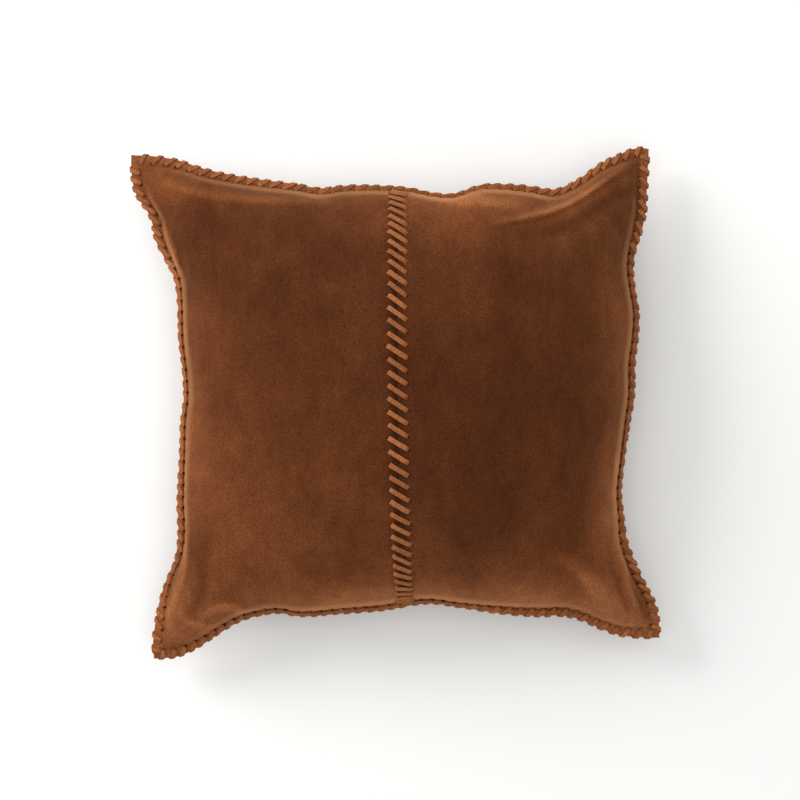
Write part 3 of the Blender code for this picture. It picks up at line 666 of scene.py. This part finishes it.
def suede_panel(name, node_name, grid, u, v, seam_depth, holes, finish, joint=0.0, painted_seam_shade=0.0):
    """A panel over (u, v): the blown-up surface, sunk where its seam and its holes draw it in.

    joint is 1 on the line where it butts against the next panel, and handled is 1 between the
    centre rows of holes, where the suede gets painted shade for the seam's recess.
    """
    points = on_surface(grid, u, v)
    normal = surface_normal(grid, u, v)
    up = 1 if grid is FACE else -1
    # Painted shade: the suede is coloured near black at each hole, where the hole's inside lies in shade;
    # along the butt joint the same mark is the joint's dark line.
    hole_shade_and_joint = np.maximum(nearness(points, holes, HOLE_RADIUS), 0.75 * joint)
    border = 1 - np.maximum(np.abs(u), np.abs(v))
    rim = 1 - smooth_step(border, 0.4 * (1 - FOLD), 1.25 * (1 - FOLD))
    sink = DIMPLE_DEPTH * nearness(points, holes, DIMPLE_RADIUS) + seam_depth
    points = points - normal * (up * sink)[..., None]
    made = mesh_object(name, points, grid_quads(*points.shape[:2], turned=grid is BACK))
    set_attribute(made, "hole_shade_and_joint", hole_shade_and_joint)
    # Painted highlight and painted shade: the border is coloured lighter towards the edge, for the sheen
    # there and against the thongs' shadows, and the suede between the centre rows darker.
    nap_and_painted_light = 0.8 * rim - 0.55 * painted_seam_shade
    if grid is FACE:
        nap_and_painted_light = nap_and_painted_light + nap_and_painted_light_tone(points) * (1 - 0.6 * rim)
    set_attribute(made, "nap_and_painted_light", nap_and_painted_light)
    return fitted_sheet(made, SUEDE, finish, node_name)


def face_panels(finish):
    """The two halves of the face: they meet at the centre seam, which is drawn in by its lacing."""
    holes = np.concatenate([edge_holes(FACE), centre_holes()])
    v = closer_at_ends(240)
    share = (1 - np.linspace(0, 1, 116)[:, None]) ** 1.2
    panels = []
    for name, side in (("left", -1), ("right", 1)):
        inner = seam_u(v)[None]
        u = inner + (side - inner) * (1 - share)
        u = u if side > 0 else u[::-1]
        rows = np.broadcast_to(v, u.shape)
        flat = on_surface(FACE, u, rows)
        off = flat[..., 0] - seam_x(flat[..., 1])
        inside = 1 - smooth_step(np.abs(rows), FOLD - 0.02, FOLD + 0.01)
        depth = inside * (0.0019 * np.exp(-(off / 0.0042) ** 2) + 0.0004 * np.exp(-(off / 0.011) ** 2))
        depth = depth + inside * 0.0004 * np.exp(-(off / 0.0012) ** 2)
        panels.append(suede_panel(
            f"suede_face_{name}", f"front_panel_{name}", FACE, u, rows, depth, holes, finish,
            joint=inside * np.exp(-(off / 0.0009) ** 2),
            # Painted shade between the centre rows of holes.
            painted_seam_shade=inside * np.exp(-(off / 0.0075) ** 4),
        ))
    return panels


def zip_row(columns, across):
    """v at which each line of constant u crosses a line at this distance across the zip."""
    y = ZIP_ORIGIN[1] + across * ZIP_Y_AXIS[1]
    return turning_place(columns.shape, -1.0, 1.0, 30, lambda v: plan_point(columns, v)[..., 1] < y)


def back_panels(finish):
    """The two parts of the back: cut edges beside the zip, and a closed seam past its ends."""
    holes = edge_holes(BACK)
    u = closer_at_ends(230)
    x = plan_point(u, zip_row(u, np.zeros_like(u)))[..., 0]
    beside = 1 - smooth_step(np.abs(x), SLOT_END, SLOT_END + 0.003)
    half_slot = SLOT_HALF * beside
    panels = []
    for name, side, rows in (("lower", -1, 60), ("upper", 1, 150)):
        cut = zip_row(u, side * half_slot)
        share = np.linspace(0, 1, rows)
        v = cut[:, None] + (side - cut[:, None]) * share
        v = v if side > 0 else v[:, ::-1]
        columns = np.broadcast_to(u[:, None], v.shape)
        off = on_surface(BACK, columns, v)[..., 1] - ZIP_ORIGIN[1]
        past = (1 - beside)[:, None] * (1 - smooth_step(np.abs(u), 0.93, 0.97))[:, None]
        depth = past * 0.0015 * np.exp(-(off / 0.0035) ** 2)
        panels.append(suede_panel(
            f"suede_back_{name}", f"back_panel_{name}", BACK, columns, v, depth, holes, finish,
        ))
    return panels


# ---- thongs ----
THONG_PROFILE = np.array([(-1, 0), (-0.86, 1), (0.86, 1), (1, 0), (0.86, -1), (-0.86, -1)], float)


def ribbons(name, paths, normals, widths, thickness):
    """Flat thongs: a six-sided profile, widths x thickness, carried along each path.

    paths and normals are (thongs, stations, 3). The profile's width lies square to the path and
    to the normal.
    """
    count, stations = paths.shape[:2]
    run = np.gradient(paths, axis=1)
    run /= np.linalg.norm(run, axis=-1, keepdims=True)
    across = np.cross(run, normals)
    across /= np.linalg.norm(across, axis=-1, keepdims=True)
    over = np.cross(across, run)
    x = THONG_PROFILE[:, 0] * np.asarray(widths)[:, None, None] / 2
    y = THONG_PROFILE[:, 1] * thickness / 2
    points = paths[:, :, None] + across[:, :, None] * x[..., None] + over[:, :, None] * y[:, None]
    corners = len(THONG_PROFILE)
    station, corner = np.meshgrid(np.arange(stations - 1), np.arange(corners), indexing="ij")
    a, b = station * corners + corner, station * corners + (corner + 1) % corners
    sides = np.stack([a, a + corners, b + corners, b], axis=-1).reshape(-1, 4)
    cap = np.array([(0, 1, 2, 3), (0, 3, 4, 5)])
    one = np.concatenate([sides, cap, cap[:, ::-1] + (stations - 1) * corners])
    faces = (one[None] + np.arange(count)[:, None, None] * stations * corners).reshape(-1, 4)
    made = mesh_object(name, points, faces)
    edge = np.broadcast_to(np.abs(THONG_PROFILE[:, 0]), (count, stations, corners))
    set_attribute(made, "cut_edge", edge)
    tone = np.random.default_rng(len(name)).uniform(0, 1, count)
    set_attribute(made, "tone", np.broadcast_to(tone[:, None, None], (count, stations, corners)))
    made.data.shade_smooth()
    made.data.set_sharp_from_angle(angle=math.radians(50))
    return made


# A whip stitch from its face hole over the edge to its back hole: inset from the edge, height over
# the border's mid surface and share of the way along, then how far its outer side has turned.
WHIP = (
    (6.3, 0.2, 0.00, 25), (5.7, 1.8, 0.06, 8), (4.4, 2.4, 0.20, 0), (2.3, 2.5, 0.42, 0),
    (0.4, 2.3, 0.62, 20), (-0.9, 1.3, 0.74, 60), (-1.2, 0.0, 0.80, 90), (-0.9, -1.3, 0.84, 120),
    (0.6, -2.4, 0.88, 165), (3.4, -2.4, 0.94, 180), (5.7, -1.8, 0.99, 178), (6.3, -0.2, 1.00, 160),
)


def edge_lacing(side, finish):
    """One side's thong: a whip stitch for each hole, leaning the same way round the pillow."""
    share, lead = STITCHES[side]
    length = EDGE_LENGTHS[side][-1]
    random = np.random.default_rng(sum(map(ord, side)))
    inset, level, way, turned = (np.array(WHIP)[:, k] for k in range(4))
    uneven = random.normal(0, 1, (4, len(share), 1))
    share = share[:, None] + uneven[0] * 0.0004 / length
    lead = lead[:, None] * (1 + 0.12 * uneven[1])
    to_edge = np.minimum(way / 0.8, 1)
    past_edge = np.clip((way - 0.8) / 0.2, 0, 1)
    at = share - lead * to_edge - (STITCH_PITCH[side] / length - lead) * past_edge
    inset = np.where(inset > 5, inset + 0.2 * uneven[2], inset) * MM
    u, v = edge_uv(side, at, np.maximum(inset, 0))
    outwards = edge_outwards(side, np.clip(at, 0, 1))
    plan = plan_point(u, v)
    up = np.array([0.0, 0.0, 1.0])
    height = border_height(u, v) + level * MM * (1 + 0.06 * uneven[3])
    paths = np.concatenate([plan, height[..., None]], axis=-1)
    paths = paths + outwards * np.maximum(-inset, 0)[..., None]
    turn = np.radians(turned)[:, None]
    normals = up * np.cos(turn) + outwards * np.sin(turn)
    widths = EDGE_THONG_WIDTH * (1 + 0.06 * random.normal(0, 1, len(share)))
    made = ribbons(f"thong_{side}_edge", paths, normals, widths, THONG_THICK)
    return fitted(made, finish, f"edge_lace_{side}")


def centre_lacing(finish):
    """The thong over the centre seam: each stitch rises from a left hole and falls to a right one."""
    random = np.random.default_rng(7)
    share = np.array([0, 0.05, 0.16, 0.32, 0.5, 0.68, 0.84, 0.95, 1.0])
    level = np.array([-1.3, 0.3, 1.0, 1.0, 0.9, 1.0, 1.0, 0.3, -1.3]) * MM
    uneven = random.normal(0, 1, (3, len(CENTRE_LEFT), 1))
    v = CENTRE_LEFT[:, None] * (1 - share) + CENTRE_RIGHT[:, None] * share
    v = np.clip(v + 0.0012 * uneven[0] * (1 - share) + 0.0012 * uneven[1] * share, -FOLD, FOLD)
    half = CENTRE_HALF * (1 + 0.03 * uneven[2])
    offset = (2 * share - 1) * half
    u, right = seam_u(v), seam_u(v, CENTRE_HALF)
    u = u + (right - u) * offset / CENTRE_HALF
    normals = surface_normal(FACE, u, v)
    paths = on_surface(FACE, u, v) + normals * level[:, None]
    widths = CENTRE_THONG_WIDTH * (1 + 0.05 * random.normal(0, 1, len(CENTRE_LEFT)))
    made = ribbons("thong_centre_seam", paths, normals, widths, THONG_THICK)
    return fitted(made, finish, "centre_lace")


# ---- zip ----
def zip_coil(name, side, finish):
    """A nylon coil: the helix (x, c + a cos f, b sin f), f = 2 pi x / pitch, within its CAD strip."""
    low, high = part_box(f"zip_coil_{name}")
    turns = round((high.x - low.x) / COIL_PITCH)
    angle = np.linspace(0, 2 * math.pi * turns, turns * COIL_STATIONS + 1)
    x = np.linspace(low.x + COIL_WIRE / 2, high.x - COIL_WIRE / 2, len(angle))
    phase = angle + math.pi * (side > 0)
    width, height = (COIL_WIDTH - COIL_WIRE) / 2, (COIL_HEIGHT - COIL_WIRE) / 2
    middle = side * (COIL_CHANNEL + COIL_WIDTH) / 2
    path = zip_point(x, middle + width * np.cos(phase), height * np.sin(phase))
    out = zip_point(x, middle + 2 * width * np.cos(phase), 2 * height * np.sin(phase)) - path
    out /= np.linalg.norm(out, axis=-1, keepdims=True)
    made = ribbons(f"nylon_coil_{name}", path[None], out[None], [COIL_WIRE], COIL_WIRE * 0.8)
    return fitted(made, finish, f"zip_coil_{name}")


def zip_sewing(name, side, finish):
    """Lock stitches along a cut edge: each lies on the suede and dives into it at both ends."""
    count = int(2 * SLOT_END / SEWN_STITCH)
    share = np.array([0.04, 0.14, 0.5, 0.86, 0.96])
    start = -SLOT_END + (2 * SLOT_END - count * SEWN_STITCH) / 2 + SEWN_STITCH * np.arange(count)
    x = start[:, None] + SEWN_STITCH * share
    out = np.array([-0.3, 0.5, 0.6, 0.5, -0.3]) * THREAD - SUEDE_OVER_ZIP
    path = zip_point(x, side * SEWN_LINE, -out)
    made = ribbons(f"sewing_{name}", path, -ZIP_INWARDS, np.full(count, THREAD), THREAD * 0.8)
    return fitted(made, finish, f"zip_sewing_{name}")


def soft_edges(kept):
    """Takes the sharpness off a cast brass piece, with modifiers that leave its mesh as it is."""
    weld = kept.modifiers.new("weld", "WELD")
    weld.merge_threshold = 0.00001
    bevel = kept.modifiers.new("soft_edges", "BEVEL")
    bevel.width = 0.00018
    bevel.segments = 2
    bevel.limit_method = "ANGLE"
    bevel.angle_limit = math.radians(40)


# ---- insert ----
TICKING = 0.0005             # thickness of the insert's case
TICKING_REACH, TICKING_DEPTH, TICKING_LINES = 0.90, 0.0045, 90
FILLING_REACH, FILLING_DEPTH, FILLING_LINES = 0.84, 0.0075, 70


def insert_surface(grid, reach, depth, count):
    """The cover's surface shrunk to a reach in u and v, and moved this far into the pillow."""
    line = closer_at_ends(count) * reach
    u, v = np.meshgrid(line, line, indexing="ij")
    inside = np.minimum(1, (1 - np.maximum(np.abs(u), np.abs(v)) / reach) / 0.08)
    edge = border_height(u, v)
    up = 1 if grid is FACE else -1
    cover = on_surface(grid, u, v)
    points = cover - surface_normal(grid, u, v) * up * depth
    height = np.minimum(up * (points[..., 2] - edge), up * (cover[..., 2] - edge) - 0.5 * depth)
    points[..., 2] = edge + up * (0.0004 + inside * np.maximum(height, 0.001))
    return points


def ticking_sides(finish):
    sides = []
    for name, grid in (("front", FACE), ("back", BACK)):
        points = insert_surface(grid, TICKING_REACH, TICKING_DEPTH, TICKING_LINES)
        quads = grid_quads(TICKING_LINES, TICKING_LINES, turned=grid is BACK)
        made = mesh_object(f"ticking_{name}", points, quads)
        beside = points - ZIP_ORIGIN
        along = 1 - smooth_step(np.abs(beside[..., 0]), TAPE_HALF, TAPE_HALF + 0.03)
        # Painted shade: a band of the back's ticking behind the zip is coloured brown, where it lies in the
        # zip channel's shade.
        by_zip = (grid is BACK) * along * np.exp(-(beside[..., 1] / 0.02) ** 4)
        set_attribute(made, "painted_zip_shade", by_zip)
        sides.append(fitted_sheet(made, TICKING, finish, f"insert_ticking_{name}"))
    return sides


def filling_body(finish):
    """The filling: both sides of the insert moved further in and closed round the edge."""
    count = FILLING_LINES
    top, bottom = (insert_surface(grid, FILLING_REACH, FILLING_DEPTH, count) for grid in (FACE, BACK))
    points = np.concatenate([top.reshape(-1, 3), bottom.reshape(-1, 3)])
    quads = [grid_quads(count, count), grid_quads(count, count, first=count**2, turned=True)]
    side = np.arange(count)
    rim = np.concatenate([
        side * count, (count - 1) * count + side[1:], side[-2::-1] * count + count - 1, side[-2:0:-1],
    ])
    following = np.roll(rim, -1)
    quads.append(np.stack([rim, rim + count**2, following + count**2, following], axis=1))
    made = mesh_object("feather_filling", points, np.concatenate(quads))
    made.data.shade_smooth()
    fitted(made, finish, "insert_fill")
    return made


# ---- materials ----
def linear(colour):
    """An sRGB hex colour as linear red, green and blue."""
    parts = [int(colour[k:k + 2], 16) / 255 for k in (1, 3, 5)]
    return tuple(c / 12.92 if c <= 0.04045 else ((c + 0.055) / 1.055) ** 2.4 for c in parts) + (1.0,)


def node(tree, kind, inputs=None, **settings):
    """Adds a node, sets its properties, and sets or links its inputs by name or number."""
    made = tree.nodes.new(kind)
    for key, value in settings.items():
        setattr(made, key, value)
    for key, value in (inputs or {}).items():
        if isinstance(value, bpy.types.NodeSocket):
            tree.links.new(value, made.inputs[key])
        else:
            made.inputs[key].default_value = value
    return made


def new_material(name):
    made = bpy.data.materials.new(name)
    made.use_nodes = True
    return made, made.node_tree, made.node_tree.nodes["Principled BSDF"]


def ramp(tree, value, stops):
    """A colour ramp through (place, colour) stops."""
    made = node(tree, "ShaderNodeValToRGB", {"Fac": value})
    elements = made.color_ramp.elements
    while len(elements) < len(stops):
        elements.new(0.5)
    for element, (place, colour) in zip(elements, stops):
        element.position = place
        element.color = linear(colour)
    return made.outputs["Color"]


def mix(tree, share, a, b, blend="MIX"):
    return node(
        tree, "ShaderNodeMix", {0: share, 6: a, 7: b}, data_type="RGBA", blend_type=blend,
    ).outputs[2]


def noise(tree, vector, size, detail=3.0, roughness=0.55):
    """Noise whose features are about this many metres across."""
    return node(tree, "ShaderNodeTexNoise", {
        "Vector": vector, "Scale": 1 / size, "Detail": detail, "Roughness": roughness,
    }).outputs["Fac"]


def object_place(tree):
    return node(tree, "ShaderNodeTexCoord").outputs["Object"]


def attribute(tree, name):
    return node(tree, "ShaderNodeAttribute", attribute_name=name).outputs["Fac"]


def mapped(tree, value, low, high, to_low=0.0, to_high=1.0):
    """A value taken from low..high to to_low..to_high, and no further."""
    return node(
        tree, "ShaderNodeMapRange", {0: value, 1: low, 2: high, 3: to_low, 4: to_high},
    ).outputs[0]


def finish_shader(tree, shader, colour, height, strength, distance, **values):
    """Gives a shader its colour, a bump of this strength and distance, and its plain values."""
    tree.links.new(colour, shader.inputs["Base Color"])
    for name, value in values.items():
        shader.inputs[name.replace("_", " ")].default_value = value
    bump = node(tree, "ShaderNodeBump", {"Height": height, "Strength": strength, "Distance": distance})
    tree.links.new(bump.outputs[0], shader.inputs["Normal"])


SHEEN_TINT = linear("#EBAE78")


def suede_material():
    """Split cowhide with a brushed nap, 1.2 mm thick, dyed rust brown: matt, with a pale bloom where
    it is seen edge on, and patches a few centimetres across where the nap lies another way."""
    made, tree, shader = new_material("brushed_split_suede")
    place = object_place(tree)
    drawn = node(tree, "ShaderNodeMapping", {"Vector": place, "Scale": (1.0, 0.45, 1.0)}).outputs[0]
    patches = noise(tree, place, 0.075, 4.0, 0.6)
    strokes = noise(tree, drawn, 0.011, 4.0, 0.6)
    grain = noise(tree, place, 0.0015, 2.0, 0.75)
    # Per point tone of the nap, with painted highlight and painted shade worked into it.
    nap_and_painted_light = attribute(tree, "nap_and_painted_light")
    wander = mapped(tree, patches, 0.25, 0.75, -0.38, 0.38)
    tone = node(tree, "ShaderNodeMath", {0: nap_and_painted_light, 1: wander}, operation="ADD").outputs[0]
    base = ramp(tree, mapped(tree, tone, -1.2, 1.2), (
        (0.0, "#4C240F"), (0.3, "#562B12"), (0.5, "#663619"), (0.75, "#844A27"), (1.0, "#A3643C"),
    ))
    stroke = ramp(tree, strokes, ((0.25, "#B4ABA4"), (0.75, "#FFFFFF")))
    speck = ramp(tree, grain, ((0.30, "#7C736C"), (0.60, "#FFFFFF")))
    colour = mix(tree, 0.55, base, stroke, "MULTIPLY")
    colour = mix(tree, 0.7, colour, speck, "MULTIPLY")
    # Near black in the holes as painted shade, and on the butt joint as its dark line.
    holes = attribute(tree, "hole_shade_and_joint")
    colour = mix(tree, mapped(tree, holes, 0.35, 0.8), colour, linear("#1A0B04"))
    height = node(tree, "ShaderNodeMath", {0: grain, 1: strokes}, operation="ADD").outputs[0]
    finish_shader(tree, shader, colour, height, 0.6, 0.0007, Roughness=0.95, Specular_IOR_Level=0.1,
                  Sheen_Weight=0.8, Sheen_Roughness=0.38, Sheen_Tint=SHEEN_TINT)
    return made


def thong_material():
    """Suede thong cut 4 to 5 mm wide: the same dyed split, lighter along its cut edges."""
    made, tree, shader = new_material("cut_suede_thong")
    place = object_place(tree)
    fibres = noise(tree, place, 0.0022, 3.0, 0.8)
    tone = attribute(tree, "tone")
    base = ramp(tree, tone, ((0.0, "#8A4B27"), (1.0, "#A46037")))
    speck = ramp(tree, fibres, ((0.32, "#685D55"), (0.58, "#FFFFFF")))
    colour = mix(tree, 0.8, base, speck, "MULTIPLY")
    edge = attribute(tree, "cut_edge")
    worn = mapped(tree, edge, 0.72, 1.0, to_high=0.3)
    colour = mix(tree, worn, colour, linear("#B57D4E"))
    finish_shader(tree, shader, colour, fibres, 0.8, 0.0006, Roughness=0.92, Specular_IOR_Level=0.12,
                  Sheen_Weight=0.3, Sheen_Roughness=0.4, Sheen_Tint=SHEEN_TINT)
    return made


def woven_material(name, light, dark, thread, roughness=0.85):
    """Plain weave whose threads lie this many metres apart, in two tones of one colour, with painted
    shade in dark brown where a piece's dyed attribute is set."""
    made, tree, shader = new_material(name)
    place = object_place(tree)
    waves = [
        node(tree, "ShaderNodeTexWave", {"Vector": place, "Scale": math.pi / (10 * thread)},
             bands_direction=axis).outputs["Fac"]
        for axis in ("X", "Y")
    ]
    weave = node(tree, "ShaderNodeMath", {0: waves[0], 1: waves[1]}, operation="MULTIPLY").outputs[0]
    painted_zip_shade = attribute(tree, "painted_zip_shade")
    # Mixed towards dark brown as painted shade where the attribute is set.
    colour = mix(tree, painted_zip_shade, ramp(tree, weave, ((0.1, dark), (0.7, light))), linear("#3A2010"))
    finish_shader(tree, shader, colour, weave, 0.5, thread / 3, Roughness=roughness, Sheen_Weight=0.2)
    return made


def plain_material(name, colours, grain, roughness, metallic=0.0, depth=0.00005):
    """A finish that wanders between two near colours over its grain, with a slight unevenness."""
    made, tree, shader = new_material(name)
    place = object_place(tree)
    wander = noise(tree, place, grain, 4.0)
    rough = mapped(tree, wander, 0.0, 1.0, roughness * 0.8, roughness * 1.2)
    tree.links.new(rough, shader.inputs["Roughness"])
    colour = ramp(tree, wander, ((0.35, colours[0]), (0.65, colours[1])))
    finish_shader(tree, shader, colour, wander, 0.3, depth, Metallic=metallic)
    return made


# ---- stage ----
def stage():
    """A plain pale floor, a broad soft light from the upper left and a pale room all round."""
    size = 6.0
    floor = mesh_object(
        "floor", np.array([(-size, -size, 0), (size, -size, 0), (size, size, 0), (-size, size, 0)]) / 2
        - np.array([0, 0, 0.0004]), [(0, 1, 2, 3)],
    )
    made, _, shader = new_material("pale_paper_floor")
    shader.inputs["Base Color"].default_value = linear("#F4F3F1")
    shader.inputs["Roughness"].default_value = 0.9
    floor.data.materials.append(made)

    for name, place, size, power in (
        ("upper_left_light", (-1.7, 1.2, 1.2), 1.4, 42.0),
        ("overhead_light", (0.2, 0.0, 2.8), 2.6, 14.0),
    ):
        lamp = bpy.data.lights.new(name, "AREA")
        lamp.shape = "DISK"
        lamp.size = size
        lamp.energy = power
        made = scene_object(name, lamp)
        made.location = place
        towards = np.array([0.0, 0.0, 0.06]) - np.array(place)
        made.rotation_mode = "QUATERNION"
        made.rotation_quaternion = Vector(towards).to_track_quat("-Z", "Y")

    world = bpy.data.worlds.new("pale_room")
    world.use_nodes = True
    room = world.node_tree.nodes["Background"].inputs
    room["Color"].default_value = (1.0, 1.0, 1.0, 1.0)
    room["Strength"].default_value = 0.75
    bpy.context.scene.world = world
    bpy.context.scene.view_settings.view_transform = "Standard"


def camera():
    """Straight above the pillow, a little off its middle, as far off as a 90 mm lens needs."""
    lens = bpy.data.cameras.new("camera")
    lens.lens = 90.0
    lens.sensor_width = 36.0
    made = scene_object("camera", lens)
    view_width = 0.761
    made.location = (0.0058, 0.0034, SEAM_HEIGHT + view_width * lens.lens / lens.sensor_width)
    bpy.context.scene.camera = made


# ---- the pillow ----
camera()
stage()
SUEDE_FINISH = suede_material()
THONG_FINISH = thong_material()
TICKING_FINISH = woven_material("cambric_ticking", "#EFE9DC", "#CFC7B6", 0.0004)
FILLING_FINISH = plain_material("feather_and_down", ("#E9E4DA", "#F6F3EC"), 0.006, 0.95, depth=0.001)
TAPE_FINISH = woven_material("woven_polyester_tape", "#4E2C19", "#2C170C", 0.0006, 0.7)
COIL_FINISH = plain_material("dyed_nylon_coil", ("#43250F", "#55301A"), 0.002, 0.38)
BRASS_FINISH = plain_material("antiqued_brass", ("#8C6A3A", "#B08A50"), 0.004, 0.36, metallic=1.0)
THREAD_FINISH = plain_material("spun_polyester_thread", ("#5F3A22", "#7A4E30"), 0.0005, 0.6)

face = face_panels(SUEDE_FINISH)
back = back_panels(SUEDE_FINISH)
for side_name in SIDES:
    edge_lacing(side_name, THONG_FINISH)
centre_lacing(THONG_FINISH)
ticking = ticking_sides(TICKING_FINISH)
filling_body(FILLING_FINISH)

for coil_name, coil_side in (("upper", 1), ("lower", -1)):
    zip_coil(coil_name, coil_side, COIL_FINISH)
    zip_sewing(coil_name, coil_side, THREAD_FINISH)

for finish, kept_parts in (
    (TAPE_FINISH, ("tape_upper", "tape_lower")),
    (BRASS_FINISH, ("top_stop_upper", "top_stop_lower", "bottom_stop", "slider", "pull")),
):
    for part in kept_parts:
        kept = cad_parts[f"zip_{part}"]
        kept.data.materials.clear()
        kept.data.materials.append(finish)
        if finish is BRASS_FINISH:
            soft_edges(kept)
